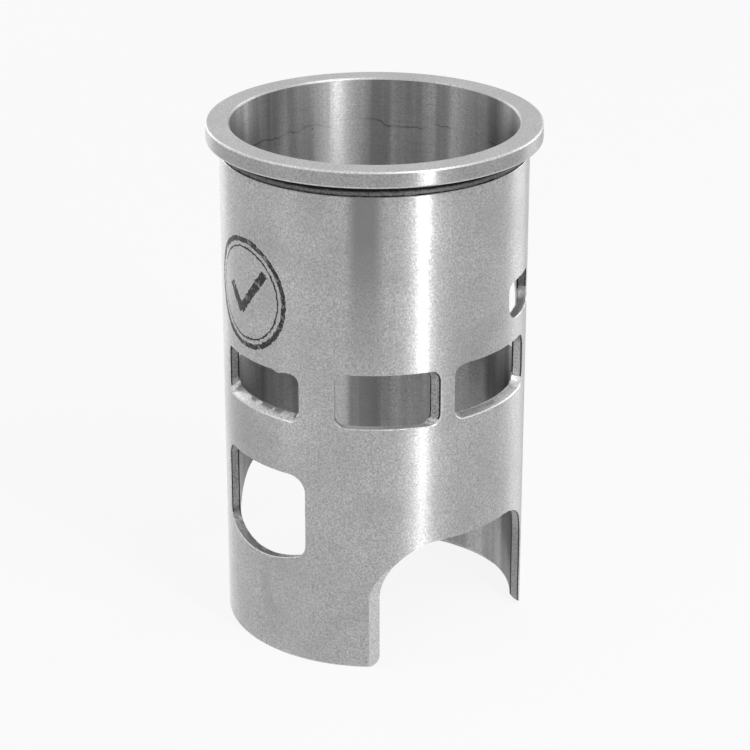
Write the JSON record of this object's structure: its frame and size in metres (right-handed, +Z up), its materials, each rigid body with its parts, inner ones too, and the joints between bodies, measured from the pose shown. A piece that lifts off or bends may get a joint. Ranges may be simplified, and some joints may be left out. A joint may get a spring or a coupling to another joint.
{
  "type": "cylinder liner",
  "caption": "Ported two-stroke cylinder liner: iron sleeve with a thin top flange, honed bore, belt of scavenge and exhaust ports, intake window and cut-away skirt.",
  "frame": {"origin": "centre of the bore axis in the plane of the feet", "axes": "+Z up the bore axis to the deck, -Y towards the intake side, X along the crankshaft"},
  "size_m": [0.0772, 0.0772, 0.1226],
  "materials": {
    "liner_iron": "fine turned and honed, bare"
  },
  "bodies": {
    "root": {"cylinder_liner": "liner_iron"}
  },
  "joints": []
}
